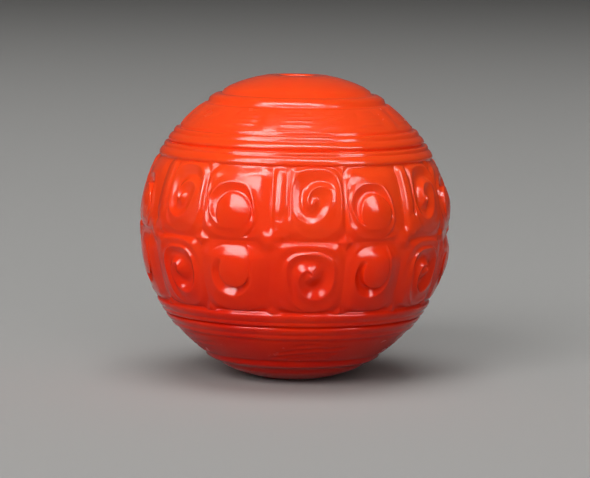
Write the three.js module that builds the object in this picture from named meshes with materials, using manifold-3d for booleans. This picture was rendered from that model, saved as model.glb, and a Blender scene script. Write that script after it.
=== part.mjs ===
// A round bead of red agate: turned rings, a frieze above and below, and a belt of scrolls in two rows.
// Millimetres, and degrees for angles. The origin is the bead's centre, and +Z runs up its drilled hole.
import * as THREE from "three";
import { mergeVertices } from "three/addons/utils/BufferGeometryUtils.js";
import Module from "manifold-3d";

const wasm = await Module();
wasm.setup();

// The ball, the hole through it, and the flat land round each mouth of the hole
const beadDiameter = 15.5;
const beadHeight = 15.1;
const boreDiameter = 1.6;
const mouthChamfer = 0.1;
const landDiameter = 3;

// The bands of latitude that the turner marks out, from the equator to the cap
const beltRowSpan = 27.5;
const lowerRingSpan = 6.2;
const upperRingSpan = 6.6;
const friezeSpan = 13.7;
const capRingSpan = 6.5;

// The depths of the turned notches between those bands, and of the friezes' ground
const ringNotchDepth = 0.2;
const friezeFootDepth = 0.16;
const friezeHeadDepth = 0.17;
const friezeGroundDepth = 0.08;
const capNotchDepth = 0.15;

// The belt: a unit is two scrolls above two scrolls, with a stem between the upper two. The unit repeats
// all round, and the one at the front is a little wider than the others.
const unitCount = 7;
const frontUnitSpan = 54.4;
const frontUnitAzimuth = -125.6;
const leftCellShare = 0.5635;
const stemWidth = 0.83;
const stemLineDepth = 0.06;
const cellGrooveWidth = 0.28;
const cellGrooveDepth = 0.22;
const cornerRoundness = 4;

// Each scroll is a spiral crest with a hollow between its turns. This is a full hollow's depth, and the
// most that a hollow may sink for each millimetre of its width.
const hollowDepth = 0.3;
const steepestShare = 1.15;

// The upper frieze: beast faces left standing on the ground, a nose with a scored eye on each side of it
const faceCount = 5;
const firstNoseAzimuth = -104.2;
const noseWidth = 0.85;
const noseHeight = 1.5;
const eyeWidth = 1.4;
const eyeHeight = 1.3;
const eyeGap = 0.2;
const bossRootDepth = 0.4;
const bossSlope = 0.3;
const eyeLineLength = 1.1;
const eyeLineWidth = 0.16;
const eyeLineDepth = 0.12;
const eyeLineCount = 2;

// How deep the carved cells are rooted in the ball, how deep the ball's bed lies under the belt,
// and how far a cutter stands above the stone
const rootDepth = 1.1;
const bedDepth = 0.8;
const overrun = 0.15;

// Facets round the ball, rays round a scroll, and stops along a stem
const ballFacets = 42;
const scrollRays = 16;
const stemStops = 4;

const radius = beadDiameter / 2;
const landRadius = landDiameter / 2;
const boreRadius = boreDiameter / 2;
const landTop = beadHeight / 2;
const lerp = THREE.MathUtils.lerp;
const rad = THREE.MathUtils.degToRad;
const arcAngle = (length, circle = radius) => THREE.MathUtils.radToDeg(length / circle);
const grooveHalfAngle = arcAngle(cellGrooveWidth / 2);

// Each moulding swells between two notches, steeply on the belt's side: where along it its top lies
const firstRingShares = [0.6];
const ringShares = [0.2, 0.6];
const friezeShares = [0.08, 0.5, 0.92];
const capShares = [0.05, 0.35, 0.7];

const mouldings = [
  { span: lowerRingSpan, top: 0, head: ringNotchDepth, shares: firstRingShares },
  { span: upperRingSpan, top: 0, head: friezeFootDepth, shares: ringShares },
  { span: friezeSpan, top: friezeGroundDepth, head: friezeHeadDepth, shares: friezeShares },
  { span: capRingSpan, top: 0, head: capNotchDepth, shares: ringShares },
];

// The unit vector that points out of the ball at an azimuth and a latitude
function outward(azimuth, latitude) {
  const waist = Math.cos(rad(latitude));
  return new THREE.Vector3(
    waist * Math.cos(rad(azimuth)),
    waist * Math.sin(rad(azimuth)),
    Math.sin(rad(latitude)),
  );
}

// A point of the belt, so deep below the ball's surface
function carved(azimuth, latitude, depth) {
  return outward(azimuth, latitude).multiplyScalar(radius - depth);
}

// One hemisphere's outline: the belt's sunken bed, the mouldings, the cap, the land and the hole's mouth
function hemisphereOutline() {
  const outline = [];
  const put = (latitude, length) => {
    outline.push(new THREE.Vector2(length * Math.cos(rad(latitude)), length * Math.sin(rad(latitude))));
  };
  put(beltRowSpan / 2, radius - bedDepth);
  put(beltRowSpan - grooveHalfAngle, radius - bedDepth);
  put(beltRowSpan - grooveHalfAngle, radius - 2 * cellGrooveDepth);
  let latitude = beltRowSpan;
  put(latitude + grooveHalfAngle, radius);
  for (const { span, top, head, shares } of mouldings) {
    for (const along of shares) {
      put(latitude + span * along, radius - top);
    }
    latitude += span;
    put(latitude, radius - head);
  }
  const landLatitude = THREE.MathUtils.radToDeg(Math.atan2(landTop, landRadius));
  const landReach = Math.hypot(landTop, landRadius);
  for (const share of capShares) {
    put(lerp(latitude, landLatitude, share), lerp(radius, landReach, share * share));
  }
  outline.push(new THREE.Vector2(landRadius, landTop));
  outline.push(new THREE.Vector2(boreRadius + mouthChamfer, landTop));
  outline.push(new THREE.Vector2(boreRadius, landTop - mouthChamfer));
  return outline;
}

// The turned and drilled ball: both hemispheres' outlines and the wall of the hole, as one closed ring
function turnedBall() {
  const upper = hemisphereOutline();
  const lower = upper.map((point) => new THREE.Vector2(point.x, -point.y)).reverse();
  const outline = [...lower, ...upper, lower[0].clone()];
  const ball = new THREE.LatheGeometry(outline, ballFacets);
  ball.rotateX(Math.PI / 2);
  return ball;
}

// A mesh from its points and the corners of its triangles, without the triangles that closed up
function meshOf(points, corners) {
  const faces = [];
  for (let i = 0; i < corners.length; i += 3) {
    const [a, b, c] = corners.slice(i, i + 3);
    if (a !== b && b !== c && c !== a) {
      faces.push(a, b, c);
    }
  }
  const geometry = new THREE.BufferGeometry();
  const places = points.flatMap((point) => point.toArray());
  geometry.setAttribute("position", new THREE.Float32BufferAttribute(places, 3));
  geometry.setIndex(faces);
  return geometry;
}

// A closed mesh from rings of points: every ring has as many points, and the two ends are capped
function tubeOfRings(rings) {
  const sides = rings[0].length;
  const corners = [];
  for (let ring = 0; ring + 1 < rings.length; ring++) {
    for (let side = 0; side < sides; side++) {
      const a = ring * sides + side;
      const b = ring * sides + ((side + 1) % sides);
      corners.push(a, a + sides, b);
      corners.push(b, a + sides, b + sides);
    }
  }
  const last = (rings.length - 1) * sides;
  for (let side = 1; side + 1 < sides; side++) {
    corners.push(0, side, side + 1);
    corners.push(last, last + side + 1, last + side);
  }
  return meshOf(rings.flat(), corners);
}

// The four scrolls of a unit. Borders number the unit's own lines: its west end, the left cells' edge,
// the stem's far edge and its east end. A scroll's middle lies at shares of its cell's width and height.
// From its outer end, start degrees round, the crest winds inward, counter-clockwise where turn is 1.
// Each entry of reach is so many degrees of winding, and the crest's distance from the middle as a share
// of the row's span. An entry of beds tells of the hollow inside the crest: where its bed lies between
// this turn and the next one in, and its depth as a share of a full hollow. Below 0 degrees the hollow
// lies between the cell's shoulder and the first turn.
const scrollShares = [
  {
    borders: [0, 1], row: 1, turn: 1, start: -74.4, middle: [0.49, 0.4],
    reach: [
      [0, 0.45], [22.5, 0.34], [67.5, 0.27], [90, 0.26], [112.5, 0.28], [135, 0.33],
      [225, 0.41], [247.5, 0.39], [270, 0.34], [315, 0.26], [337.5, 0.24], [405, 0.24],
      [472.5, 0.19], [517.5, 0.2], [562.5, 0.23], [585, 0.23], [652.5, 0.12], [697.5, 0],
    ],
    beds: [
      [-360, 0.5, 0.13], [-300, 0.5, 0.2], [-225, 0.35, 0.67], [-170, 0.35, 0.73],
      [-140, 0.4, 0.4], [0, 0.6, 0.27], [100, 0.85, 0.67], [280, 0.85, 0.57],
      [320, 0.85, 0.33], [400, 0.85, 0.17], [620, 0.7, 0],
    ],
  },
  {
    borders: [2, 3], row: 1, turn: 1, start: 58.6, middle: [0.43, 0.51],
    reach: [
      [0, 0.54], [22.5, 0.48], [67.5, 0.44], [112.5, 0.32], [135, 0.3],
      [202.5, 0.28], [247.5, 0.23], [270, 0.21], [292.5, 0.22], [337.5, 0.28],
      [360, 0.25], [405, 0.15], [427.5, 0.11], [472.5, 0.07], [517.5, 0],
    ],
    beds: [
      [-360, 0.5, 0.33], [-240, 0.5, 0.07], [-130, 0.4, 0.27], [0, 0.57, 0.67],
      [130, 0.6, 0.57], [250, 0.3, 0.67], [400, 0.5, 0.47], [500, 0.5, 0],
    ],
  },
  {
    borders: [0, 1], row: -1, turn: -1, start: 74.1, middle: [0.52, 0.59],
    reach: [
      [0, 0.47], [22.5, 0.3], [45, 0.24], [67.5, 0.22], [90, 0.22], [112.5, 0.24],
      [180, 0.36], [202.5, 0.38], [292.5, 0.32], [337.5, 0.26], [427.5, 0.18],
      [472.5, 0.18], [562.5, 0.22], [607.5, 0.21], [652.5, 0.12], [697.5, 0],
    ],
    beds: [
      [-360, 0.5, 0.17], [-285, 0.55, 0.1], [-200, 0.5, 0.4], [-105, 0.5, 0.27],
      [-60, 0.3, 0.47], [-15, 0.15, 0.87], [75, 0.85, 0.4], [130, 0.86, 0.87],
      [240, 0.86, 1.2], [290, 0.86, 0.83], [340, 0.85, 0.4], [420, 0.6, 0.17], [640, 0.5, 0],
    ],
  },
  {
    borders: [1, 3], row: -1, turn: -1, start: -94.2, middle: [0.54, 0.56],
    reach: [
      [0, 0.53], [45, 0.36], [67.5, 0.31], [135, 0.34], [180, 0.3], [225, 0.32],
      [270, 0.3], [337.5, 0.34], [360, 0.31], [405, 0.21], [450, 0.14], [540, 0],
    ],
    beds: [
      [-360, 0.5, 0.17], [-290, 0.5, 0.4], [-235, 0.3, 0.67], [-190, 0.7, 0.6],
      [-60, 0.5, 0.33], [60, 0.35, 0.67], [140, 0.45, 0.87], [260, 0.3, 1.2],
      [340, 0.3, 1.2], [400, 0.5, 0.67], [500, 0.5, 0.33], [540, 0.5, 0],
    ],
  },
];

// A crest this near the shoulder is the shoulder, and one this near the middle has ended
const shoulderShare = 0.94;
const endedShare = 0.05;

// The value of a table of shares after so many degrees of winding, on straight lines between its entries
function after(table, wound, column) {
  const next = table.findIndex(([angle]) => angle > wound);
  if (next < 0) {
    return table[table.length - 1][column];
  }
  const to = table[next];
  const from = table[Math.max(next - 1, 0)];
  return next === 0 ? to[column] : lerp(from[column], to[column], (wound - from[0]) / (to[0] - from[0]));
}

// One cell of the belt as a solid rooted in the ball: the scroll on top, the rounded shoulder, and a
// slope that runs on past the border, so that it crosses its neighbour's slope at the groove's root.
// Inside a cell, x and y are degrees of the front unit from the cell's middle.
function scrollCell(scroll, cell) {
  const { turn, start, reach, beds } = scroll;
  const points = [];
  const corners = [];
  const rayAngle = 360 / scrollRays;
  const degree = rad(1) * radius;
  const waist = Math.cos(rad(cell.latitude));
  const halfX = (waist * cell.width) / cell.stretch / 2;
  const halfY = cell.height / 2;
  const middleX = halfX * (2 * scroll.middle[0] - 1);
  const middleY = halfY * (2 * scroll.middle[1] - 1);
  const put = (x, y, depth) => (
    points.push(carved(cell.azimuth + (x / waist) * cell.stretch, cell.latitude + y, depth)) - 1
  );
  // Where a ray from the cell's middle meets a rounded rectangle, squarer as roundness grows
  const onRing = (ray, reachX, reachY, roundness) => {
    const cos = Math.cos(rad(ray * rayAngle));
    const sin = Math.sin(rad(ray * rayAngle));
    const power = Math.abs(cos / reachX) ** roundness + Math.abs(sin / reachY) ** roundness;
    const size = power ** (-1 / roundness);
    return [size * cos, size * sin];
  };
  const rays = Array.from({ length: scrollRays }, (_, ray) => ray);
  const shoulderPlaces = rays.map((ray) => (
    onRing(ray, halfX - grooveHalfAngle, halfY - grooveHalfAngle, cornerRoundness)
  ));
  const skirtPlaces = rays.map((ray) => (
    onRing(ray, halfX + grooveHalfAngle, halfY + grooveHalfAngle, 4 * cornerRoundness)
  ));
  const shoulder = shoulderPlaces.map(([x, y]) => put(x, y, 0));
  const skirt = skirtPlaces.map(([x, y]) => put(x, y, 2 * cellGrooveDepth));
  const root = skirtPlaces.map(([x, y]) => put(x, y, rootDepth));
  const rootMiddle = put(0, 0, rootDepth);
  const hub = put(middleX, middleY, 0);

  // The crest at each step of winding, as its reach from the scroll's middle and its point
  const firstRay = Math.round(start / rayAngle);
  const rayOf = (step) => (((firstRay + turn * step) % scrollRays) + scrollRays) % scrollRays;
  const onRay = (step, length, depth) => {
    const angle = rad(rayOf(step) * rayAngle);
    return put(middleX + length * Math.cos(angle), middleY + length * Math.sin(angle), depth);
  };
  const lastStep = Math.ceil(reach[reach.length - 1][0] / rayAngle);
  const crests = new Map();
  for (let step = -scrollRays; step <= lastStep + 2 * scrollRays; step++) {
    const [x, y] = shoulderPlaces[rayOf(step)];
    const limit = Math.hypot(x - middleX, y - middleY);
    const length = step < 0 ? limit : cell.height * after(reach, step * rayAngle, 1);
    if (length > limit * shoulderShare) {
      crests.set(step, { length: limit, point: shoulder[rayOf(step)] });
    } else if (length < cell.height * endedShare) {
      crests.set(step, { length: 0, point: hub });
    } else {
      crests.set(step, { length, point: onRay(step, length, 0) });
    }
  }

  // The bed of the hollow between one turn of the crest and the next turn in
  const hollows = new Map();
  for (let step = -scrollRays; step <= lastStep + scrollRays; step++) {
    const outer = crests.get(step);
    const inner = crests.get(step + scrollRays);
    const gap = outer.length - inner.length;
    const bed = after(beds, step * rayAngle, 1);
    const steepest = steepestShare * gap * degree * Math.max(bed, 1 - bed);
    const depth = Math.min(hollowDepth * after(beds, step * rayAngle, 2), steepest);
    const closed = gap < cell.height * endedShare;
    hollows.set(step, closed ? outer.point : onRay(step, lerp(outer.length, inner.length, bed), depth));
  }
  const quad = (a, b, c, d) => {
    corners.push(...(turn > 0 ? [a, b, c, a, c, d] : [c, b, a, d, c, a]));
  };
  for (let step = -scrollRays; step < lastStep + scrollRays; step++) {
    const crest = (at) => crests.get(at).point;
    quad(crest(step), crest(step + 1), hollows.get(step + 1), hollows.get(step));
    quad(hollows.get(step), hollows.get(step + 1), crest(step + 1 + scrollRays), crest(step + scrollRays));
  }
  for (const ray of rays) {
    const next = (ray + 1) % scrollRays;
    corners.push(skirt[ray], skirt[next], shoulder[next], skirt[ray], shoulder[next], shoulder[ray]);
    corners.push(root[ray], root[next], skirt[next], root[ray], skirt[next], skirt[ray]);
    corners.push(rootMiddle, root[next], root[ray]);
  }
  return meshOf(points, corners);
}

// The stem between a unit's upper scrolls: a bar with two fine raised lines along it, from the belt's
// upper edge down to the groove between the rows
function stemBar(azimuth) {
  const half = arcAngle(stemWidth / 2);
  const flat = half - grooveHalfAngle;
  const across = [
    [-half - grooveHalfAngle, 2 * cellGrooveDepth],
    [-flat, 0],
    [0, stemLineDepth],
    [flat, 0],
    [half + grooveHalfAngle, 2 * cellGrooveDepth],
    [half + grooveHalfAngle, rootDepth],
    [-half - grooveHalfAngle, rootDepth],
  ];
  const section = (latitude, least) => (
    across.map(([east, depth]) => carved(azimuth + east, latitude, Math.max(depth, least)))
  );
  const rings = [section(beltRowSpan + grooveHalfAngle, 2 * cellGrooveDepth)];
  for (let stop = 0; stop <= stemStops; stop++) {
    rings.push(section(lerp(beltRowSpan - grooveHalfAngle, grooveHalfAngle, stop / stemStops), 0));
  }
  rings.push(section(-grooveHalfAngle, 2 * cellGrooveDepth));
  return tubeOfRings(rings);
}

// Everything that stands up from the belt's bed
function beltPieces() {
  const pieces = [];
  const stemAngle = arcAngle(stemWidth);
  const otherUnitSpan = (360 - frontUnitSpan) / (unitCount - 1);
  let west = frontUnitAzimuth;
  for (let unit = 0; unit < unitCount; unit++) {
    const span = unit === 0 ? frontUnitSpan : otherUnitSpan;
    const leftEdge = west + leftCellShare * (span - stemAngle);
    const borders = [west, leftEdge, leftEdge + stemAngle, west + span];
    pieces.push(stemBar(leftEdge + stemAngle / 2));
    for (const scroll of scrollShares) {
      const [from, to] = scroll.borders.map((border) => borders[border]);
      pieces.push(scrollCell(scroll, {
        azimuth: (from + to) / 2,
        latitude: (scroll.row * beltRowSpan) / 2,
        width: to - from,
        height: beltRowSpan,
        stretch: span / frontUnitSpan,
      }));
    }
    west += span;
  }
  return pieces;
}

// The V-shaped tool of one short cut along a parallel, which runs out at both ends
function parallelCut(latitude, from, to, width, depth) {
  const stopShares = [0, 0.12, 0.88, 1];
  const fadeShares = [0, 1, 1, 0];
  const rings = stopShares.map((share, i) => {
    const azimuth = lerp(from, to, share);
    const out = outward(azimuth, latitude);
    const north = out.clone().cross(new THREE.Vector3(-Math.sin(rad(azimuth)), Math.cos(rad(azimuth)), 0));
    const rim = out.clone().multiplyScalar(radius + overrun);
    const reach = (width / 2) * (fadeShares[i] + overrun / depth);
    return [
      rim.clone().addScaledVector(north, reach),
      carved(azimuth, latitude, depth * fadeShares[i]),
      rim.clone().addScaledVector(north, -reach),
    ];
  });
  return tubeOfRings(to > from ? rings : rings.reverse());
}

// The circle of the upper frieze, and the azimuths of the noses and the eyes along it
const friezeLatitude = beltRowSpan + lowerRingSpan + upperRingSpan + friezeSpan / 2;
const friezeCircle = radius * Math.cos(rad(friezeLatitude));
const eyeOffset = arcAngle((noseWidth + eyeWidth) / 2 + eyeGap, friezeCircle);
const noseAzimuths = Array.from({ length: faceCount }, (_, i) => firstNoseAzimuth + (i * 360) / faceCount);
const eyeAzimuths = noseAzimuths.flatMap((nose) => [nose - eyeOffset, nose + eyeOffset]);

// The corners of a boss, counter-clockwise, as shares of its half width and half height
const bossCornerShares = [
  [1, -0.6], [1, 0.6], [0.6, 1], [-0.6, 1], [-1, 0.6], [-1, -0.6], [-0.6, -1], [0.6, -1],
];

// A boss on the upper frieze, flush with the ball and wider toward its root in the stone
function friezeBoss(azimuth, width, height) {
  const ring = (depth, slope) => bossCornerShares.map(([x, y]) => carved(
    azimuth + arcAngle(x * (width / 2 + slope), friezeCircle),
    friezeLatitude + arcAngle(y * (height / 2 + slope)),
    depth,
  ));
  return tubeOfRings([ring(0, 0), ring(bossRootDepth, bossSlope)]);
}

// The noses and the eyes of all the faces
function faceBosses() {
  return [
    ...noseAzimuths.map((azimuth) => friezeBoss(azimuth, noseWidth, noseHeight)),
    ...eyeAzimuths.map((azimuth) => friezeBoss(azimuth, eyeWidth, eyeHeight)),
  ];
}

// The lines scored across the eyes
function eyeTools() {
  const half = arcAngle(eyeLineLength / 2, friezeCircle);
  return eyeAzimuths.flatMap((eye) => (
    Array.from({ length: eyeLineCount }, (_, line) => {
      const share = (line + 1) / (eyeLineCount + 1) - 1 / 2;
      const latitude = friezeLatitude + arcAngle(eyeHeight * share);
      return parallelCut(latitude, eye - half, eye + half, eyeLineWidth, eyeLineDepth);
    })
  ));
}

// A closed mesh as a solid that can be joined and cut
function solid(geometry) {
  const bare = geometry.clone();
  bare.deleteAttribute("normal");
  bare.deleteAttribute("uv");
  const merged = mergeVertices(bare);
  const mesh = new wasm.Mesh({
    numProp: 3,
    vertProperties: merged.attributes.position.array,
    triVerts: Uint32Array.from(merged.index.array),
  });
  return new wasm.Manifold(mesh);
}

// The stone: the turned ball with its belt and bosses left standing, and then the eyes' lines cut
function carvedStone() {
  let stone = solid(turnedBall());
  for (const piece of [...beltPieces(), ...faceBosses()]) {
    stone = stone.add(solid(piece));
  }
  for (const tool of eyeTools()) {
    stone = stone.subtract(solid(tool));
  }
  const { vertProperties, triVerts } = stone.getMesh();
  const geometry = new THREE.BufferGeometry();
  geometry.setAttribute("position", new THREE.BufferAttribute(vertProperties, 3));
  geometry.setIndex(new THREE.BufferAttribute(triVerts, 1));
  geometry.computeVertexNormals();
  return geometry;
}

const redAgate = new THREE.MeshStandardMaterial({ color: 0xe8401c, roughness: 0.18, metalness: 0 });

const bead = new THREE.Group();
const carvedBead = new THREE.Mesh(carvedStone(), redAgate);
carvedBead.name = "carved_bead";
bead.add(carvedBead);

export default bead;
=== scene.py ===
import math

import bmesh
import bpy
from mathutils import Matrix, Vector


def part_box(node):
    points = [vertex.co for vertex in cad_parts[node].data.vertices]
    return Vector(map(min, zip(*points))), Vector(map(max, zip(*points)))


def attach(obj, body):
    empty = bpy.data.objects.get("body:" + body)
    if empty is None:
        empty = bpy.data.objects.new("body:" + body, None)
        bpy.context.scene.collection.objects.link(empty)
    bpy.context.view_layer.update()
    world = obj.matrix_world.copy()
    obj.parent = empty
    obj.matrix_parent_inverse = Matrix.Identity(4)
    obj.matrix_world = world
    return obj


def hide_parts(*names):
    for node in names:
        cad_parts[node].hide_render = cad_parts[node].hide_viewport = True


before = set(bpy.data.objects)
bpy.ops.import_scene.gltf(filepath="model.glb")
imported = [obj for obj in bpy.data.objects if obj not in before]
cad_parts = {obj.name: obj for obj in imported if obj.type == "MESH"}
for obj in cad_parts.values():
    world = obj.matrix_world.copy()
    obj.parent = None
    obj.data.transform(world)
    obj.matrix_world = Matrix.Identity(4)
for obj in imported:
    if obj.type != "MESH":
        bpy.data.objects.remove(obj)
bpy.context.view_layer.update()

MM = 0.001

# The stone, as the CAD node has it: radius of the ball, height of the lands, the hole through it
BALL_RADIUS = 7.75 * MM
LAND_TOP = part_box("carved_bead")[1][2]
LAND_RADIUS = 1.5 * MM
BORE_RADIUS = 0.8 * MM
MOUTH_ROUND = 0.1 * MM

# Bands of latitude from the equator to the cap, in degrees, and the depths of the notches
# between them
BELT_ROW = 27.5
LOWER_RING = 6.2
UPPER_RING = 6.6
FRIEZE = 13.7
CAP_RING = 6.5
BELT_EDGE = 0.14 * MM
BELT_FOOT = 0.25 * MM
RING_NOTCH = 0.2 * MM
FRIEZE_FOOT = 0.16 * MM
FRIEZE_HEAD = 0.17 * MM
FRIEZE_SINK = 0.08 * MM
CAP_NOTCH = 0.15 * MM

# The belt repeats in units of four scrolls. The unit at the front is a little wider than the
# others. Places along a unit are degrees of the front unit, and the other units are squeezed
# to their own width.
UNITS = 7
FRONT_UNIT = 54.4
BACK_UNIT = (360 - FRONT_UNIT) / (UNITS - 1)
FRONT_START = -125.6
LEFT_EDGE = 27.2
STEM_EDGE = 33.3

# Columns of points across the left scrolls, the stem and the right scrolls, and rows up a cell
LEFT_COLUMNS = 19
STEM_SHARES = [0.12, 0.5, 0.6, 0.7, 0.88]
RIGHT_COLUMNS = 15
ROWS = 22

# Grooves between the cells. Toward its ends a groove beside a cell takes the depth of the groove
# between the rows, over so many degrees.
SIDE_GROOVE = 0.14 * MM
ROW_GROOVE = 0.2 * MM
DIAMOND_GROOVE = 0.17 * MM
GROOVE_BLEND = 2.5

# Depth of the stem at each of its columns: a fine raised line between two faint hollows.
# The stem falls away over the last degrees of its top.
STEM_DEPTHS = [0.0, 0.004 * MM, 0.008 * MM, 0.0, 0.008 * MM, 0.004 * MM, 0.0]
STEM_END = 2.6
STEM_FALL = 0.06 * MM

# The stem ends at its foot in a scored line that slants up to the right. A second one starts at
# the same point and slants down to the groove between the rows. Slants are degrees per degree.
# Half a score's width, and the blend from the upper score to the stem's own lines, are degrees.
STEM_FOOT = 6.0
STEM_SLANT = 0.8
CORNER_SLANT = 1.2
CORNER_LINE = 0.07 * MM
CORNER_HALF = 1.3
FOOT_BLEND = 2

# How finely a hollow is cut, as heights up its walls, and the fall beside it and a diamond, as
# shares of the way out
WALL_LINES = [1.0, 0.86, 0.56, 0.24, 0.0]
FALL_LINES = [0.0, 0.4, 0.75, 1.0]
DIAMOND_LINES = [0.5, 1.0]

# How steep a hollow's wide wall may be, the round at its bottom as a share of the wall, the reach
# in degrees below which a crest has ended, and how soon slopes, falls, bridges and diamonds steepen
WALL_STEEPEST = 1.15
WALL_FILLET = 0.3
ENDED_REACH = 0.6
SLOPE_POWER = 1.25
FALL_POWER = 1.3
BRIDGE_STEEPNESS = 1.6
DIAMOND_STEEPNESS = 1.6

# A point this near a border lies on it, in degrees. A scroll's shoulder stops at this share of
# the way to the edge, and a ray is followed to just inside the border. Edges along a ray are
# found by so many halvings. Points as near each other as the weld are one.
ON_BORDER = 0.01
SHOULDER_LIMIT = 0.98
JUST_INSIDE = 0.999
HALVINGS = 30
WELD = 0.0005 * MM

# Length of a degree of latitude, and the length of a degree round the belt as a share of it
DEGREE = math.radians(1) * BALL_RADIUS
WAIST = 0.97


def mix(a, b, share):
    return a + (b - a) * share


def smooth(share):
    share = min(1.0, max(0.0, share))
    return share * share * (3 - 2 * share)


def carved(azimuth, latitude, depth):
    """A point of the stone's skin, so deep below the ball."""
    flat = math.cos(math.radians(latitude))
    out = Vector((
        flat * math.cos(math.radians(azimuth)),
        flat * math.sin(math.radians(azimuth)),
        math.sin(math.radians(latitude)),
    ))
    return out * (BALL_RADIUS - depth)


def unit_azimuth(unit, place):
    """The azimuth of a place along a unit of the belt."""
    if unit == 0:
        return FRONT_START + place
    return FRONT_START + FRONT_UNIT + (unit - 1) * BACK_UNIT + place * BACK_UNIT / FRONT_UNIT


def belt_point(unit, place, latitude, depth):
    return carved(unit_azimuth(unit, place), latitude, depth)


# The columns of a unit: those of its left scrolls, of the stem and of its right scrolls
COLUMN_PLACES = [LEFT_EDGE * i / LEFT_COLUMNS for i in range(LEFT_COLUMNS + 1)]
COLUMN_PLACES += [mix(LEFT_EDGE, STEM_EDGE, share) for share in STEM_SHARES]
COLUMN_PLACES += [mix(STEM_EDGE, FRONT_UNIT, i / RIGHT_COLUMNS) for i in range(RIGHT_COLUMNS + 1)]
UNIT_COLUMNS = len(COLUMN_PLACES) - 1
STEM_LAST = UNIT_COLUMNS - RIGHT_COLUMNS

# Small raised diamonds where the corners of the cells meet: place, latitude, half width and
# depth of the top
DIAMONDS = [
    (0, 0, 0.4 * MM, 0.03 * MM),
    (FRONT_UNIT, 0, 0.4 * MM, 0.03 * MM),
    (0, BELT_ROW, 0.4 * MM, 0.06 * MM),
    (FRONT_UNIT, BELT_ROW, 0.4 * MM, 0.06 * MM),
    (0, -BELT_ROW, 0.4 * MM, 0.06 * MM),
    (FRONT_UNIT, -BELT_ROW, 0.4 * MM, 0.06 * MM),
    (LEFT_EDGE, -BELT_ROW, 0.35 * MM, 0.06 * MM),
]
# The band at the right of the upper left scroll runs on into the row below, and the upper right
# scroll's lower corner runs on under the stem. These are the breaks in the grooves there: place,
# latitude and reach.
BRIDGES = [(26.4, 0.5, 4.2), (33.6, 5.4, 5.0)]


def diamond_share(place, latitude):
    """How far into a diamond a point lies, 0 at its edge, 1 at its middle, and its top's depth."""
    best, top = 0.0, 0.0
    for corner, height, half, depth in DIAMONDS:
        away = abs(place - corner) * DEGREE * WAIST + abs(latitude - height) * DEGREE
        if 1 - away / half > best:
            best, top = 1 - away / half, depth
    return best, top


def bridged(place, latitude):
    """What is left of a depth near a bridge: nothing at its middle, all of it past its reach."""
    left = 1.0
    for middle, height, reach in BRIDGES:
        away = math.hypot((place - middle) * WAIST, latitude - height)
        left *= 1 - smooth(BRIDGE_STEEPNESS - BRIDGE_STEEPNESS * away / reach)
    return left


def cell_bounds(scroll):
    """The least and greatest place and latitude of a scroll's cell."""
    first, last = scroll["columns"]
    low, high = (0, BELT_ROW) if scroll["row"] > 0 else (-BELT_ROW, 0)
    return COLUMN_PLACES[first], COLUMN_PLACES[last], low, high


def sunk_by_slopes(place, latitude, scroll):
    """How far the skin has sunk toward a cell's left, right, lower and upper border."""
    low_x, high_x, low_y, high_y = cell_bounds(scroll)
    sides = (
        (place - low_x) * WAIST,
        (high_x - place) * WAIST,
        latitude - low_y,
        high_y - latitude,
    )
    sunk = 0.0
    for away, (deepest, reach) in zip(sides, scroll["slopes"]):
        near = min(1.0, max(0.0, 1 - away / reach))
        sunk += deepest * MM * near ** SLOPE_POWER
    return sunk


def groove_depth(place, latitude):
    """Depth of the groove at a point on a border between cells, before the bridges."""
    from_row = abs(latitude)
    from_edge = BELT_ROW - from_row
    if from_edge < ON_BORDER:
        groove = BELT_EDGE if latitude > 0 else BELT_FOOT
    elif from_row < ON_BORDER:
        groove = ROW_GROOVE
    else:
        blend = smooth(min(from_row, from_edge) / GROOVE_BLEND)
        groove = mix(ROW_GROOVE, SIDE_GROOVE, blend)
    share, top = diamond_share(place, latitude)
    if share > 0:
        return mix(DIAMOND_GROOVE, top, smooth(share * DIAMOND_STEEPNESS))
    return groove


def border_depth(place, latitude):
    """Depth of the stone's skin at a point on a border between cells."""
    return groove_depth(place, latitude) * bridged(place, latitude)


# The turned part: rings, friezes, caps, lands and the hole

# The bands above the belt, and the lines at which each is cut, as shares of its span. A ring is
# two beads side by side, parted by a score at a share of its span; "bead" is the score's depth.
# "sink" is the depth of the band's top, and "rounds" are its rounded edges, as shares of it.
RING_LINES = [0.03, 0.06, 0.09, 0.2, 0.32, 0.45, 0.55, 0.6, 0.65, 0.75, 0.85, 0.92, 0.96, 1.0]
FRIEZE_LINES = [0.03, 0.07] + [0.1 + 0.05 * i for i in range(17)] + [0.94, 0.97, 1.0]
CAP_LINES = [0.12, 0.3, 0.5, 0.7, 0.85, 1.0]
MOULDINGS = [
    {
        "span": LOWER_RING, "foot": BELT_EDGE, "head": RING_NOTCH, "sink": 0,
        "rounds": (0.09, 0.14), "lines": RING_LINES, "score": 0.6, "bead": 0.055 * MM,
    },
    {
        "span": UPPER_RING, "foot": RING_NOTCH, "head": FRIEZE_FOOT, "sink": 0,
        "rounds": (0.09, 0.14), "lines": RING_LINES, "score": 0.55, "bead": 0.055 * MM,
    },
    {
        "span": FRIEZE, "foot": FRIEZE_FOOT, "head": FRIEZE_HEAD, "sink": FRIEZE_SINK,
        "rounds": (0.07, 0.07), "lines": FRIEZE_LINES, "score": 1, "bead": 0,
    },
    {
        "span": CAP_RING, "foot": FRIEZE_HEAD, "head": CAP_NOTCH, "sink": 0,
        "rounds": (0.3, 0.3), "lines": CAP_LINES, "score": 1, "bead": 0.03 * MM,
    },
]

# The cap's lines, crowded toward its edge by a power, its rounded edge as a share of it, and the
# steps of the hole's rounded mouth
CAP_STEPS = 6
CAP_CROWDING = 1.4
CAP_ROUND = 0.12
MOUTH_STEPS = 2

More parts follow.
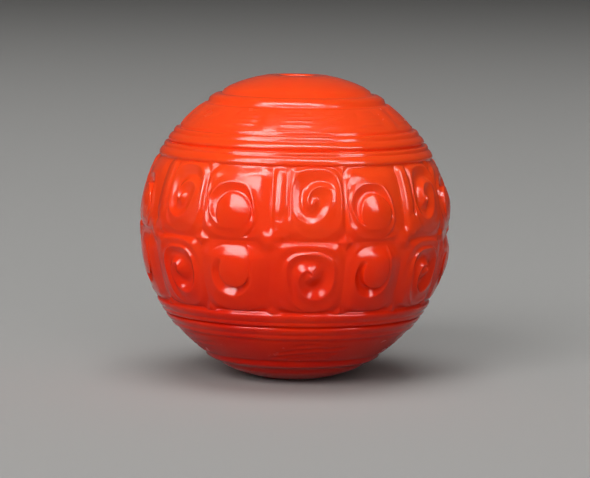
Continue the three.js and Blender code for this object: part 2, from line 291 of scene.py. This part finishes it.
# The friezes: a motif repeats every so many degrees, and the edges stay plain for a fraction of one
FRIEZE_START = BELT_ROW + LOWER_RING + UPPER_RING
FRIEZE_MIDDLE = FRIEZE_START + FRIEZE / 2
FRIEZE_REPEAT = 72
FRIEZE_MARGIN = 0.3
FIRST_NOSE = -104.2
FIRST_HATCH = FIRST_NOSE + FRIEZE_REPEAT / 2
FIRST_SWEEP = FIRST_NOSE + 20
LINE_HALF = 0.09 * MM
LINE_DEPTH = 0.045 * MM
HATCH_DEPTH = LINE_DEPTH * 0.7
SWEEP_DEPTH = LINE_DEPTH * 1.8

# A boss is a rounded oblong. Its foot lies a little outside its half size, as a share of that, and
# its side is this wide.
BOSS_RISE = 0.04 * MM
BOSS_SQUARENESS = 3
BOSS_FOOT = 1.15
BOSS_SLOPE = 0.6

# The upper frieze's beast faces, in mm from the middle of a nose: raised bosses as middle and
# half size, and score lines from end to end. Between the faces it is hatched. The lower frieze
# has sweeping score lines only.
NOSE = (0, 0, 0.42, 0.78)
EYES = [(-1.34, 0.06, 0.72, 0.66), (1.34, 0.06, 0.72, 0.66)]
EYE_LINES = [
    (-0.6, 0.5, 0.5, 0.52), (-0.45, 0.26, 0.5, 0.28), (-0.62, 0.5, -0.6, 0.1),
    (0.5, 0.52, 0.55, 0.28), (-0.5, 0.0, 0.66, 0.02), (-0.62, -0.24, 0.7, -0.26),
    (-0.7, -0.52, 0.62, -0.5),
]
HATCH_LINES = [(x / 10, -0.72, x / 10 + 0.34, -0.5) for x in range(-9, 10, 3)]
HATCH_LINES += [(-0.9, 0.1, -0.3, 0.45), (-0.3, -0.1, 0.4, 0.3)]
SWEEP_LINES = [
    (-1.6, 0.55, -0.6, 0.28), (-0.6, 0.28, 0.6, 0.12), (-0.7, 0.6, 0.3, 0.42),
    (0.3, 0.42, 1.3, 0.4), (-1.3, 0.1, -0.3, -0.16), (-0.3, -0.16, 0.9, -0.3),
    (0.5, 0.18, 1.7, 0.1), (-0.4, -0.5, 0.6, -0.62), (0.9, -0.22, 2.0, -0.34),
]


def line_share(x, y, lines):
    """1 on the nearest line, falling to 0 at the line's half width."""
    best = 0.0
    for x0, y0, x1, y1 in lines:
        x0, y0, x1, y1 = x0 * MM, y0 * MM, x1 * MM, y1 * MM
        length_squared = (x1 - x0) ** 2 + (y1 - y0) ** 2
        along = ((x - x0) * (x1 - x0) + (y - y0) * (y1 - y0)) / length_squared
        along = min(1.0, max(0.0, along))
        away = math.hypot(x - mix(x0, x1, along), y - mix(y0, y1, along))
        best = max(best, 1 - away / LINE_HALF)
    return best


def boss_share(x, y, boss):
    """1 on a boss's top, falling to 0 round it."""
    middle_x, middle_y, half_x, half_y = (value * MM for value in boss)
    across = abs((x - middle_x) / half_x) ** BOSS_SQUARENESS
    up = abs((y - middle_y) / half_y) ** BOSS_SQUARENESS
    out = (across + up) ** (1 / BOSS_SQUARENESS)
    return smooth((BOSS_FOOT - out) / BOSS_SLOPE)


def from_nearest(azimuth, first):
    """Degrees from the nearest of the motifs that repeat round the bead."""
    return (azimuth - first + FRIEZE_REPEAT / 2) % FRIEZE_REPEAT - FRIEZE_REPEAT / 2


def frieze_relief(azimuth, latitude):
    """Extra depth of the friezes' carving at a point; a raised boss counts below zero."""
    y = (abs(latitude) - FRIEZE_MIDDLE) * DEGREE
    if abs(y) > (FRIEZE / 2 - FRIEZE_MARGIN) * DEGREE:
        return 0.0
    per_degree = DEGREE * math.cos(math.radians(FRIEZE_MIDDLE))
    if latitude < 0:
        x = from_nearest(azimuth, FIRST_SWEEP) * per_degree
        return SWEEP_DEPTH * line_share(x, y, SWEEP_LINES)
    x = from_nearest(azimuth, FIRST_NOSE) * per_degree
    rise = boss_share(x, y, NOSE)
    depth = 0.0
    for eye in EYES:
        rise = max(rise, boss_share(x, y, eye))
        depth += LINE_DEPTH * line_share(x - eye[0] * MM, y - eye[1] * MM, EYE_LINES)
    x = from_nearest(azimuth, FIRST_HATCH) * per_degree
    return depth - BOSS_RISE * rise + HATCH_DEPTH * line_share(x, y, HATCH_LINES)


def upper_outline():
    """Latitude and depth of each line of the upper half, from the belt's edge to the land."""
    lines = [(BELT_ROW, BELT_EDGE)]
    latitude = BELT_ROW
    for moulding in MOULDINGS:
        foot_round, head_round = moulding["rounds"]
        score = moulding["score"]
        for share in moulding["lines"]:
            rise = smooth(share / foot_round) * smooth((1 - share) / head_round)
            depth = mix(mix(moulding["foot"], moulding["head"], share), moulding["sink"], rise)
            along = share / score if share <= score else (share - score) / (1 - score)
            depth += moulding["bead"] * (2 * along - 1) ** 2 * rise
            lines.append((latitude + moulding["span"] * share, depth))
        latitude += moulding["span"]
    land_latitude = math.degrees(math.atan2(LAND_TOP, LAND_RADIUS))
    land_depth = BALL_RADIUS - math.hypot(LAND_TOP, LAND_RADIUS)
    for step in range(1, CAP_STEPS + 1):
        share = (step / CAP_STEPS) ** CAP_CROWDING
        rise = smooth(share / CAP_ROUND)
        depth = CAP_NOTCH * (1 - rise) + land_depth * share * share
        lines.append((mix(latitude, land_latitude, share), depth))
    return lines


def turned_part(bm):
    """Spins both halves' outline round the hole, cuts the friezes and meets the belt's columns."""
    outline = [carved(0, latitude, depth) for latitude, depth in upper_outline()]
    for step in range(MOUTH_STEPS + 1):
        turn = math.radians(90 * step / MOUTH_STEPS)
        radius = BORE_RADIUS + MOUTH_ROUND * (1 - math.sin(turn))
        outline.append(Vector((radius, 0, LAND_TOP - MOUTH_ROUND * (1 - math.cos(turn)))))
    lower = [Vector((point.x, 0, -point.z)) for point in reversed(outline)]
    chain = [bm.verts.new(point) for point in outline + lower]
    edges = [bm.edges.new(pair) for pair in zip(chain, chain[1:])]
    count = UNITS * UNIT_COLUMNS
    bmesh.ops.spin(
        bm, geom=chain + edges, cent=(0, 0, 0), axis=(0, 0, 1),
        angle=math.tau, steps=count, use_merge=True,
    )
    for vert in bm.verts:
        across = math.hypot(vert.co.x, vert.co.y)
        step = round(math.atan2(vert.co.y, vert.co.x) / math.tau * count) % count
        unit, column = divmod(step, UNIT_COLUMNS)
        place = COLUMN_PLACES[column]
        azimuth = unit_azimuth(unit, place)
        latitude = math.degrees(math.atan2(vert.co.z, across))
        if abs(abs(latitude) - BELT_ROW) < ON_BORDER:
            latitude = math.copysign(BELT_ROW, latitude)
            depth = border_depth(place, latitude)
        else:
            depth = BALL_RADIUS - vert.co.length + frieze_relief(azimuth, latitude)
        vert.co = carved(azimuth, latitude, depth)


# The belt's scrolls, each a crest wound about a "middle", a place and a latitude, inward from an
# angle "start", and counter-clockwise where "turn" is 1.
# "insets" are the falls at the cell's left, right, bottom and top. Inside them lies the shoulder,
# a rounded oblong whose power is "squareness".
# "hub" is the low dome at the middle: its radius in degrees, which has to stay less than any
# distance from the middle to the shoulder, and its rise.
# "slopes" give, for the sides in the order above, how deep the skin sinks, in mm, and from how
# many degrees away.
# "reach" gives degrees wound, and how far the crest lies from the middle in degrees of the ball.
# "beds" gives degrees wound, where the hollow inside the crest is deepest, from 0 at the crest to
# 1 at its next turn, and how deep it is there in mm. Before 0 degrees the hollow lies between the
# cell's edge and the first turn.
SCROLLS = [
    {
        "columns": (0, LEFT_COLUMNS), "row": 1, "middle": (13.25, 11.12),
        "turn": 1, "start": -74.4, "insets": (0.9, 0.8, 1.2, 0.9), "squareness": 3.2,
        "hub": (9.8, 0.14 * MM), "slopes": ((0.1, 3.5), (0.17, 5.2), (0.16, 4.5), (0.17, 4.4)),
        "reach": [
            (0, 10.43), (21, 9.32), (44, 8.39), (69, 7.44), (89, 7.09), (108, 7.57), (129, 8.65),
            (143, 9.43), (158, 9.62), (177, 10.01), (195, 10.68), (213, 11.16), (230, 11.39),
            (245, 10.83), (260, 9.86), (279, 8.85), (299, 8.0), (323, 6.96), (355, 6.56),
            (386, 6.6), (413, 6.5), (431, 6.2), (452, 5.67), (472, 5.27), (495, 5.22),
            (519, 5.46), (543, 5.9), (564, 6.3), (585, 6.4), (610, 6.8), (635, 7.2), (655, 7.3),
            (700, 0),
        ],
        "beds": [
            (-360, 0.5, 0.03), (-330, 0.7, 0.06), (-250, 0.72, 0.06), (-215, 0.6, 0.03),
            (-160, 0.5, 0.05), (-100, 0.5, 0.1), (-60, 0.5, 0.04), (0, 0.6, 0.01),
            (45, 0.75, 0.03), (75, 0.82, 0.14), (100, 0.85, 0.25), (200, 0.85, 0.27),
            (240, 0.85, 0.22), (275, 0.85, 0.16), (296, 0.85, 0), (700, 0.5, 0),
        ],
    },
    {
        "columns": (STEM_LAST, UNIT_COLUMNS), "row": 1, "middle": (42.45, 14.11),
        "turn": 1, "start": 58.6, "insets": (0.7, 1.6, 1.8, 0.8), "squareness": 2.8,
        "hub": (6.5, 0.05 * MM), "slopes": ((0.07, 2.0), (0.09, 1.7), (0.18, 5.0), (0.08, 2.0)),
        "reach": [
            (0, 14.92), (33, 12.73), (61, 12.39), (91, 10.33), (113, 8.71), (135, 8.23),
            (152, 8.07), (170, 7.82), (190, 7.73), (206, 7.58), (223, 6.97), (245, 6.29),
            (267, 5.91), (291, 5.93), (314, 6.63), (329, 7.5), (342, 7.63), (356, 7.07),
            (373, 6.04), (390, 4.99), (410, 3.74), (439, 2.61), (482, 1.83), (520, 1.2), (550, 0),
        ],
        "beds": [
            (-360, 0.5, 0.02), (-240, 0.5, 0.02), (-190, 0.4, 0.03), (-130, 0.4, 0.03),
            (-60, 0.5, 0.02), (-25, 0.5, 0.04), (0, 0.57, 0.19), (80, 0.57, 0.24),
            (130, 0.6, 0.23), (180, 0.4, 0.21), (250, 0.5, 0.2), (320, 0.7, 0.17),
            (400, 0.6, 0.13), (500, 0.5, 0.07), (550, 0.5, 0),
        ],
    },
    {
        "columns": (0, LEFT_COLUMNS), "row": -1, "middle": (14.0, -11.24),
        "turn": -1, "start": 74.1, "insets": (1.0, 1.0, 1.1, 0.9), "squareness": 2.8,
        "hub": (9.5, 0.1 * MM), "slopes": ((0.16, 4.0), (0.22, 8.0), (0.14, 3.5), (0.26, 6.2)),
        "reach": [
            (0, 12.89), (13, 9.75), (32, 7.47), (60, 6.13), (95, 6.22), (123, 7.1), (147, 8.16),
            (170, 9.47), (191, 10.11), (211, 10.45), (230, 10.03), (252, 9.53), (276, 9.03),
            (299, 8.72), (321, 7.86), (343, 6.88), (367, 6.45), (391, 5.75), (422, 4.97),
            (458, 4.87), (493, 5.25), (525, 5.65), (556, 6.01), (582, 6.2), (635, 6.2),
            (655, 6.0), (700, 0),
        ],
        "beds": [
            (-360, 0.5, 0.02), (-200, 0.5, 0.04), (-120, 0.5, 0.03), (-60, 0.3, 0.03),
            (10, 0.3, 0.04), (90, 0.8, 0.03), (130, 0.84, 0.2), (160, 0.84, 0.34),
            (250, 0.84, 0.34), (292, 0.84, 0), (700, 0.5, 0),
        ],
    },
    {
        "columns": (LEFT_COLUMNS, UNIT_COLUMNS), "row": -1, "middle": (41.79, -12.14),
        "turn": -1, "start": -94.2, "insets": (1.1, 1.2, 1.1, 0.8), "squareness": 2.8,
        "hub": (7.0, 0.12 * MM), "slopes": ((0.16, 4.5), (0.17, 4.5), (0.14, 3.5), (0.14, 1.8)),
        "reach": [
            (0, 14.67), (15, 12.84), (31, 11.35), (51, 9.34), (77, 8.44), (106, 9.12),
            (125, 9.46), (142, 9.09), (172, 8.18), (207, 8.74), (234, 8.86), (261, 8.31),
            (289, 8.61), (313, 9.1), (334, 9.28), (353, 8.85), (375, 7.5), (399, 6.0), (430, 4.6),
            (464, 3.6), (494, 3), (525, 2.2), (580, 0),
        ],
        "beds": [
            (-360, 0.5, 0.02), (-290, 0.5, 0.05), (-235, 0.7, 0.09), (-150, 0.78, 0.09),
            (-110, 0.5, 0.05), (-60, 0.5, 0.04), (0, 0.5, 0.06), (60, 0.4, 0.16), (140, 0.5, 0.2),
            (220, 0.45, 0.22), (260, 0.4, 0.3), (305, 0.4, 0.35), (345, 0.4, 0.35),
            (400, 0.5, 0.18), (500, 0.5, 0.1), (580, 0.5, 0),
        ],
    },
]


def between(knots, wound, column):
    """A knot table's value at so many degrees wound, on straight lines between the knots."""
    if wound <= knots[0][0]:
        return knots[0][column]
    for before, after in zip(knots, knots[1:]):
        if wound < after[0]:
            share = (wound - before[0]) / (after[0] - before[0])
            return mix(before[column], after[column], share)
    return knots[-1][column]


def crest_reach(reach, wound):
    """The crest's reach after so many degrees wound, on a smooth curve through the known ones."""
    if wound >= reach[-1][0]:
        return 0.0
    following = next(i for i in range(1, len(reach)) if reach[i][0] > wound)
    here = reach[following - 1]
    there = reach[following]
    before = reach[max(0, following - 2)]
    after = reach[min(len(reach) - 1, following + 1)]
    span = there[0] - here[0]
    share = (wound - here[0]) / span
    slope_here = (there[1] - before[1]) / (there[0] - before[0]) * span
    slope_there = (after[1] - here[1]) / (after[0] - here[0]) * span
    square, cube = share * share, share * share * share
    return max(0.0, (
        (2 * cube - 3 * square + 1) * here[1] + (cube - 2 * square + share) * slope_here
        + (3 * square - 2 * cube) * there[1] + (cube - square) * slope_there
    ))


def wall_height(share):
    """Height up a hollow's wall: a small round at the bottom, then straight to the crest."""
    if share < WALL_FILLET:
        return share * share / (2 * WALL_FILLET) / (1 - WALL_FILLET / 2)
    return (share - WALL_FILLET / 2) / (1 - WALL_FILLET / 2)


def first_beyond(test, far):
    """How far along a ray a test first holds, which it does at the far end."""
    near = 0.0
    for _ in range(HALVINGS):
        half = (near + far) / 2
        if test(half):
            far = half
        else:
            near = half
    return far


def cell_border(scroll):
    """The points of the cell's border, counter-clockwise from its lower right corner."""
    first, last = scroll["columns"]
    left, right, low, high = cell_bounds(scroll)
    heights = [mix(low, high, j / ROWS) for j in range(ROWS + 1)]
    places = COLUMN_PLACES[first:last + 1]
    border = [(right, height) for height in heights[:-1]]
    border += [(place, high) for place in reversed(places[1:])]
    border += [(left, height) for height in reversed(heights[1:])]
    border += [(place, low) for place in places[:-1]]
    return border


def cell_rays(scroll):
    """For each border point, the ray to it from the scroll's middle, and what lies along it."""
    middle_x, middle_y = scroll["middle"]
    low_x, high_x, low_y, high_y = cell_bounds(scroll)
    left, right, bottom, top = scroll["insets"]
    low_x, high_x = low_x + left, high_x - right
    low_y, high_y = low_y + bottom, high_y - top
    power = scroll["squareness"]
    rays = []
    turned = None
    for x, y in cell_border(scroll):
        step_x, step_y = (x - middle_x) * WAIST, y - middle_y
        length = math.hypot(step_x, step_y)
        step_x, step_y = step_x / length, step_y / length
        angle = math.degrees(math.atan2(step_y, step_x))
        if turned is not None:
            angle += 360 * round((turned - angle) / 360)
        turned = angle

        def at(reach, step_x=step_x, step_y=step_y):
            return middle_x + step_x * reach / WAIST, middle_y + step_y * reach

        def past_shoulder(reach):
            px, py = at(reach)
            return (
                abs((2 * px - low_x - high_x) / (high_x - low_x)) ** power
                + abs((2 * py - low_y - high_y) / (high_y - low_y)) ** power
            ) > 1

        def in_diamond(reach):
            return diamond_share(*at(reach))[0] > 0

        edge = length
        if in_diamond(length * JUST_INSIDE):
            edge = first_beyond(in_diamond, length)
        shoulder = min(first_beyond(past_shoulder, length), edge * SHOULDER_LIMIT)
        rays.append({
            "angle": angle, "at": at, "shoulder": shoulder, "edge": edge, "border": (x, y),
        })
    return rays


def scroll_sheet(bm, scroll, rays, unit):
    """The scroll inside the shoulder: a sheet wound round its middle.

    It has a column for each ray, from one turn before the crest's start to the crest's end. Its
    lines run down from one turn of the crest into the hollow, and up to the next turn in.
    """
    count = len(rays)
    turn = scroll["turn"]
    from_start = [(ray["angle"] - scroll["start"] + 180) % 360 - 180 for ray in rays]
    first = min(range(count), key=lambda i: abs(from_start[i]))
    origin = rays[first]["angle"] - from_start[first]

    def ray_of(step):
        return rays[(first + turn * step) % count]

    def wound(step):
        whole, ray = divmod(first + turn * step, count)
        return turn * (rays[ray]["angle"] + 360 * whole - origin)

    def reach_at(step):
        limit = ray_of(step)["shoulder"]
        if step <= 0:
            return limit
        reach = crest_reach(scroll["reach"], max(0, wound(step)))
        return min(reach, limit) if reach > ENDED_REACH else 0.0

    hub_radius, hub_rise = scroll["hub"]
    last = count
    while wound(last) < scroll["reach"][-1][0]:
        last += 1
    steps = last + count
    walls = len(WALL_LINES) - 1
    sheet = bmesh.ops.create_grid(bm, x_segments=steps, y_segments=2 * walls, size=1)["verts"]
    for vert in sheet:
        step = round((vert.co.x + 1) / 2 * steps) - count
        line = round((vert.co.y + 1) / 2 * 2 * walls)
        outer = reach_at(step)
        inner = reach_at(step + count)
        low = between(scroll["beds"], wound(step), 1)
        depth = between(scroll["beds"], wound(step), 2) * MM
        width = (outer - inner) * DEGREE
        depth = min(depth, WALL_STEEPEST * width * max(low, 1 - low))
        if line <= walls:
            up = WALL_LINES[line]
            share = low * (1 - up)
        else:
            up = WALL_LINES[2 * walls - line]
            share = mix(1.0, low, 1 - up)
        reach = mix(outer, inner, share)
        dome = hub_rise * smooth(1 - reach / hub_radius)
        depth = depth * (1 - wall_height(up)) - dome
        place, height = ray_of(step)["at"](reach)
        sunk = sunk_by_slopes(place, height, scroll) * bridged(place, height)
        vert.co = belt_point(unit, place, height, depth + sunk)


def scroll_fall(bm, scroll, rays, unit):
    """The fall from the scroll's shoulder to its cell's border, by way of the diamonds' edges."""
    count = len(rays)
    falls = len(FALL_LINES) + len(DIAMOND_LINES) - 1
    fall = bmesh.ops.create_grid(bm, x_segments=count, y_segments=falls, size=1)["verts"]
    for vert in fall:
        ray = rays[round((vert.co.x + 1) / 2 * count) % count]
        line = round((vert.co.y + 1) / 2 * falls)
        border = ray["border"]
        edge = ray["at"](ray["edge"])
        has_diamond = diamond_share(*border)[0] > 0
        groove = DIAMOND_GROOVE if has_diamond else groove_depth(*border)
        if line < len(FALL_LINES):
            share = FALL_LINES[line]
            place, height = ray["at"](mix(ray["shoulder"], ray["edge"], share))
            sunk = sunk_by_slopes(place, height, scroll)
            depth = sunk * (1 - share) + groove * share ** FALL_POWER
        else:
            share = DIAMOND_LINES[line - len(FALL_LINES)]
            place = mix(edge[0], border[0], share)
            height = mix(edge[1], border[1], share)
            depth = mix(groove, groove_depth(*border), share)
        if line == falls:
            place, height = border
        vert.co = belt_point(unit, place, height, depth * bridged(place, height))


def stem_bar(bm, unit):
    """The stem between the upper scrolls, with its fine raised line and its slanting foot."""
    first, last = LEFT_COLUMNS, STEM_LAST
    count = last - first
    bar = bmesh.ops.create_grid(bm, x_segments=count, y_segments=ROWS, size=1)["verts"]
    for vert in bar:
        column = round((vert.co.x + 1) / 2 * count)
        row = round((vert.co.y + 1) / 2 * ROWS)
        place = COLUMN_PLACES[first + column]
        height = BELT_ROW * row / ROWS
        if column in (0, count) or row in (0, ROWS):
            depth = border_depth(place, height)
        else:
            across = place - LEFT_EDGE
            above = height - (STEM_FOOT + across * STEM_SLANT)
            under = height - (STEM_FOOT - across * CORNER_SLANT)
            foot = smooth(above / FOOT_BLEND)
            end = max(0, 1 - (BELT_ROW - height) / STEM_END)
            depth = STEM_DEPTHS[column] * foot + STEM_FALL * end
            away = min(abs(above), abs(under))
            depth += CORNER_LINE * max(0, 1 - away / CORNER_HALF)
        vert.co = belt_point(unit, place, height, depth)


def new_mesh(name, bm):
    """The finished mesh as the scene's own data."""
    mesh = bpy.data.meshes.new(name)
    bm.to_mesh(mesh)
    bm.free()
    return mesh


def new_object(name, data):
    made = bpy.data.objects.new(name, data)
    bpy.context.collection.objects.link(made)
    return made


def bead_mesh():
    """The whole skin of the stone, welded into one closed mesh."""
    bm = bmesh.new()
    turned_part(bm)
    rays_of_scrolls = [cell_rays(scroll) for scroll in SCROLLS]
    for unit in range(UNITS):
        stem_bar(bm, unit)
        for scroll, rays in zip(SCROLLS, rays_of_scrolls):
            scroll_sheet(bm, scroll, rays, unit)
            scroll_fall(bm, scroll, rays, unit)
    bmesh.ops.remove_doubles(bm, verts=bm.verts, dist=WELD)
    bmesh.ops.dissolve_degenerate(bm, edges=bm.edges, dist=WELD / 10)
    bmesh.ops.recalc_face_normals(bm, faces=bm.faces)

    # The log says whether the mesh is closed. A hub that reaches past the shoulder opens it.
    open_edges = [edge for edge in bm.edges if not edge.is_manifold]
    triangles = sum(len(face.verts) - 2 for face in bm.faces)
    print("open edges", len(open_edges), "triangles", triangles)
    mesh = new_mesh("carved_agate_bead", bm)
    for face in mesh.polygons:
        face.use_smooth = True
    return mesh


def new_material(name):
    material = bpy.data.materials.new(name)
    material.use_nodes = True
    return material, material.node_tree.nodes, material.node_tree.links


def maths(nodes, links, operation, *inputs):
    """The result of a maths node on numbers or other nodes' outputs."""
    node = nodes.new("ShaderNodeMath")
    node.operation = operation
    for socket, given in zip(node.inputs, inputs):
        if isinstance(given, (int, float)):
            socket.default_value = given
        else:
            links.new(given, socket)
    return node.outputs[0]


def noise(nodes, links, place, scale, detail):
    node = nodes.new("ShaderNodeTexNoise")
    node.inputs["Scale"].default_value = scale
    node.inputs["Detail"].default_value = detail
    links.new(place, node.inputs["Vector"])
    return node.outputs["Fac"]


def ramp(nodes, links, value, stops):
    node = nodes.new("ShaderNodeValToRGB")
    links.new(value, node.inputs["Fac"])
    while len(node.color_ramp.elements) < len(stops):
        node.color_ramp.elements.new(0.5)
    for element, (position, colour) in zip(node.color_ramp.elements, stops):
        element.position = position
        element.color = (*colour, 1)
    return node.outputs["Color"]


# Roughness of the polish, and what specks in it and the matt ground of the friezes add
POLISH_ROUGHNESS = 0.05
SPECK_ROUGHNESS = 0.16
MATT_ROUGHNESS = 0.12

# The matt ground keeps this far from the friezes' edges, in degrees, and fades over this much
MATT_MARGIN = 1
MATT_FADE = 0.1 * MM

# Depth of the tool's marks, their strength on the polish and what the matt ground adds, and the
# share of the fine scratches in them. Marks run round the bead, so they are this much finer up it.
MARK_DEPTH = 0.017 * MM
POLISH_MARKS = 1.2
MATT_MARKS = 0.4
SCRATCH_SHARE = 0.35
MARK_SQUEEZE = 5

# How far the noise shifts the colour up or down its ramp
CLOUD_SPREAD = 0.5


def red_agate():
    """Polished orange-red agate with a glow just under the skin. Its colour carries painted shade:
    darker, deeper red toward the foot and lighter orange toward the top, over the stone's own
    random cloudy tone.
    """
    material, nodes, links = new_material("red_agate")
    shader = nodes["Principled BSDF"]
    place = nodes.new("ShaderNodeTexCoord").outputs["Object"]

    def value(operation, *inputs):
        return maths(nodes, links, operation, *inputs)

    split = nodes.new("ShaderNodeSeparateXYZ")
    links.new(place, split.inputs[0])
    height = split.outputs["Z"]
    clouds = noise(nodes, links, place, scale=260, detail=5)
    # Painted shade: the height term darkens the colour to deeper red toward the foot and lightens
    # it to orange toward the top. The noise adds the stone's own cloudy tone.
    level = value("MULTIPLY_ADD", height, 0.5 / BALL_RADIUS, 0.5)
    shift = value("MULTIPLY_ADD", clouds, CLOUD_SPREAD, -CLOUD_SPREAD / 2)
    painted_shade_and_cloud_tint = value("ADD", level, shift)
    colour = ramp(nodes, links, painted_shade_and_cloud_tint, [
        (0.1, (0.7, 0.009, 0.002)),
        (0.42, (0.88, 0.034, 0.004)),
        (0.75, (0.9, 0.062, 0.008)),
    ])
    links.new(colour, shader.inputs["Base Color"])

    # The ground of the friezes is left matt from the tool
    low = BALL_RADIUS * math.sin(math.radians(FRIEZE_START + MATT_MARGIN))
    high = BALL_RADIUS * math.sin(math.radians(FRIEZE_START + FRIEZE - MATT_MARGIN))
    ground = nodes.new("ShaderNodeMapRange")
    ground.interpolation_type = "SMOOTHSTEP"
    away = value("ABSOLUTE", value("SUBTRACT", value("ABSOLUTE", height), (low + high) / 2))
    links.new(away, ground.inputs["Value"])
    ground.inputs["From Min"].default_value = (high - low) / 2 + MATT_FADE
    ground.inputs["From Max"].default_value = (high - low) / 2 - MATT_FADE
    matt = ground.outputs[0]
    specks = noise(nodes, links, place, scale=900, detail=3)
    worn = value("MULTIPLY_ADD", specks, SPECK_ROUGHNESS, POLISH_ROUGHNESS)
    links.new(value("MULTIPLY_ADD", matt, MATT_ROUGHNESS, worn), shader.inputs["Roughness"])
    shader.inputs["IOR"].default_value = 1.54
    shader.inputs["Specular IOR Level"].default_value = 0.16
    shader.inputs["Subsurface Weight"].default_value = 0.3
    shader.inputs["Subsurface Radius"].default_value = (1.0, 0.2, 0.08)
    shader.inputs["Subsurface Scale"].default_value = 0.55 * MM

    # Turning leaves fine lines all round
    turned = nodes.new("ShaderNodeMapping")
    turned.inputs["Scale"].default_value = (1, 1, MARK_SQUEEZE)
    links.new(place, turned.inputs["Vector"])
    streaks = noise(nodes, links, turned.outputs[0], scale=1300, detail=3)
    scratches = noise(nodes, links, turned.outputs[0], scale=3600, detail=2)
    wide = value("MULTIPLY", streaks, 1 - SCRATCH_SHARE)
    marks = value("MULTIPLY_ADD", scratches, SCRATCH_SHARE, wide)
    strength = value("MULTIPLY_ADD", matt, MATT_MARKS, POLISH_MARKS)
    bump = nodes.new("ShaderNodeBump")
    bump.inputs["Strength"].default_value = 0.6
    bump.inputs["Distance"].default_value = MARK_DEPTH
    links.new(value("MULTIPLY", marks, strength), bump.inputs["Height"])
    links.new(bump.outputs["Normal"], shader.inputs["Normal"])
    return material


def pale_floor():
    """A floor that is pale to look at, and darker where it throws light back up onto the bead."""
    material, nodes, links = new_material("pale_floor")
    nodes.remove(nodes["Principled BSDF"])
    pale = nodes.new("ShaderNodeBsdfDiffuse")
    pale.inputs["Color"].default_value = (0.4, 0.395, 0.385, 1)
    dark = nodes.new("ShaderNodeBsdfDiffuse")
    dark.inputs["Color"].default_value = (0.2, 0.19, 0.18, 1)
    rays = nodes.new("ShaderNodeLightPath").outputs
    in_view = maths(nodes, links, "MAXIMUM", rays["Is Camera Ray"], rays["Is Glossy Ray"])
    looked_at = maths(nodes, links, "MAXIMUM", in_view, rays["Is Transmission Ray"])
    both = nodes.new("ShaderNodeMixShader")
    links.new(looked_at, both.inputs["Fac"])
    links.new(dark.outputs[0], both.inputs[1])
    links.new(pale.outputs[0], both.inputs[2])
    links.new(both.outputs[0], nodes["Material Output"].inputs["Surface"])
    return material


bead = new_object("carved_agate_bead", bead_mesh())
bead.data.materials.append(red_agate())
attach(bead, "root")
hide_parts("carved_bead")


# The floor, the light and the camera

FLOOR_HALF = 3.0


def floor():
    bm = bmesh.new()
    bmesh.ops.create_grid(bm, x_segments=1, y_segments=1, size=FLOOR_HALF)
    bmesh.ops.translate(bm, verts=bm.verts, vec=(0, 0, -LAND_TOP))
    made = new_object("floor", new_mesh("floor", bm))
    made.data.materials.append(pale_floor())


def softbox(name, azimuth, elevation, size, radiance, distance=0.6, glossy=True, diffuse=True):
    """A soft lamp that looks at the bead from an azimuth, 0 at the front and 90 at the right."""
    a, e = math.radians(azimuth), math.radians(elevation)
    toward = Vector((math.sin(a) * math.cos(e), -math.cos(a) * math.cos(e), math.sin(e)))
    place = toward * distance
    light = bpy.data.lights.new(name, "AREA")
    light.shape = "RECTANGLE"
    light.size, light.size_y = size
    light.energy = radiance * math.pi * size[0] * size[1]
    made = new_object(name, light)
    made.location = place
    made.rotation_euler = place.to_track_quat("Z", "Y").to_euler()
    made.visible_glossy = glossy
    made.visible_diffuse = diffuse


floor()
softbox("overhead_softbox", 0, 80, size=(0.42, 0.42), radiance=3.2, glossy=False)
softbox("overhead_sheen", -8, 64, size=(0.7, 0.12), radiance=34.0, diffuse=False)
softbox("window", -30, 30, size=(0.26, 0.3), radiance=7.0, glossy=False)
softbox("window_sheen", -39, 31, size=(0.38, 0.31), radiance=24.0, diffuse=False)
softbox("right_sheen", 52, 30, size=(0.2, 0.3), radiance=20.0, diffuse=False)
softbox("left_card", -88, 5, size=(0.3, 0.3), radiance=0.6)
softbox("front_fill", 5, 22, size=(1.0, 1.0), radiance=2.05, distance=1.2, glossy=False)

world = bpy.data.worlds.new("room")
world.use_nodes = True
room_light = world.node_tree.nodes["Background"].inputs
room_light["Color"].default_value = (1, 0.99, 0.97, 1)
room_light["Strength"].default_value = 0.09
bpy.context.scene.world = world

# The camera looks at the front of the bead, which is the -Y side. The bead's width in pixels and
# how far it lies from the picture's middle set the lens and its shift.
IMAGE_WIDTH = 590
SENSOR = 36.0
CAMERA_DISTANCE = 18 * BALL_RADIUS
CAMERA_ELEVATION = 6.0
CAMERA_ROLL = -1.0
BEAD_PIXELS_ACROSS = 2 * 155.2
BEAD_PIXELS_UP = 13.1
BEAD_PIXELS_LEFT = 0.35

camera_data = bpy.data.cameras.new("camera")
camera = new_object("camera", camera_data)
elevation = math.radians(CAMERA_ELEVATION)
camera.location = (
    0, -CAMERA_DISTANCE * math.cos(elevation), CAMERA_DISTANCE * math.sin(elevation),
)
level = Vector(camera.location).to_track_quat("Z", "Y").to_matrix().to_4x4()
camera.rotation_euler = (level @ Matrix.Rotation(math.radians(-CAMERA_ROLL), 4, "Z")).to_euler()
half_view = math.asin(BALL_RADIUS / CAMERA_DISTANCE)
pixels_per_unit = BEAD_PIXELS_ACROSS / 2 / math.tan(half_view)
camera_data.sensor_width = SENSOR
camera_data.lens = SENSOR * pixels_per_unit / IMAGE_WIDTH
camera_data.shift_y = -BEAD_PIXELS_UP / IMAGE_WIDTH
camera_data.shift_x = BEAD_PIXELS_LEFT / IMAGE_WIDTH
camera_data.clip_start = 0.005
bpy.context.scene.camera = camera

bpy.context.scene.view_settings.view_transform = "Standard"
